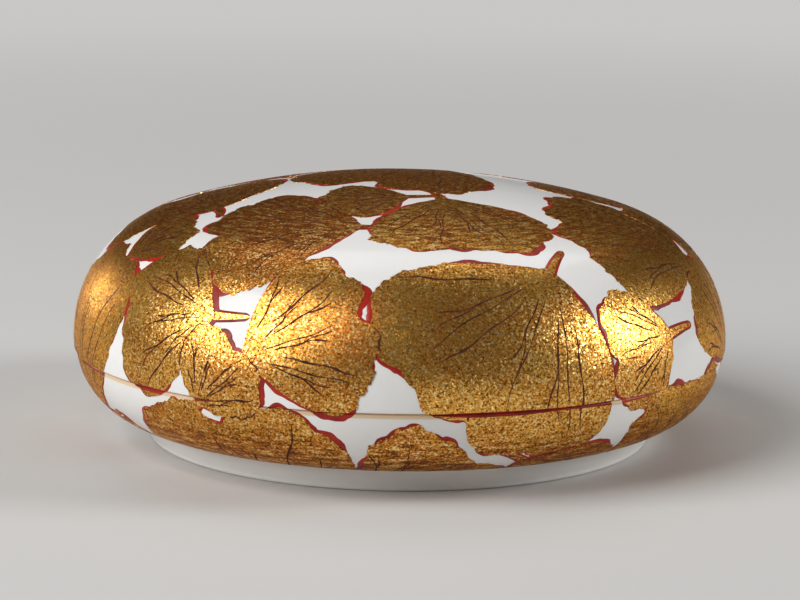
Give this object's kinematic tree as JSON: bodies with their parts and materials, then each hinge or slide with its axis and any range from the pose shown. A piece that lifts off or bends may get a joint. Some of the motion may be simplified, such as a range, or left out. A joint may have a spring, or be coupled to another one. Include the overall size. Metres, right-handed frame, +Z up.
{
  "type": "incense box",
  "caption": "Round flattened porcelain incense box: a domed lid lifts off a shallow bowl with an inner lip and a foot ring.",
  "frame": {"origin": "centre of the foot ring, on the table", "axes": "+Z up along the axis of the box; the lid lifts off along +Z; -Y is the side seen from the front"},
  "size_m": [0.078, 0.078, 0.031],
  "materials": {
    "porcelain": "clear gloss glaze over white porcelain",
    "gold_leaf": "gold leaf burnished over enamel, rubbed and grainy",
    "red_enamel": "iron-red overglaze enamel"
  },
  "bodies": {
    "bowl": {"bowl": "porcelain"},
    "lid": {"lid": "porcelain"}
  },
  "joints": [
    {"name": "lid_lift", "type": "slide", "parent": "bowl", "child": "lid", "axis": [0, 0, 1], "range_m": [0, 0.045]}
  ]
}
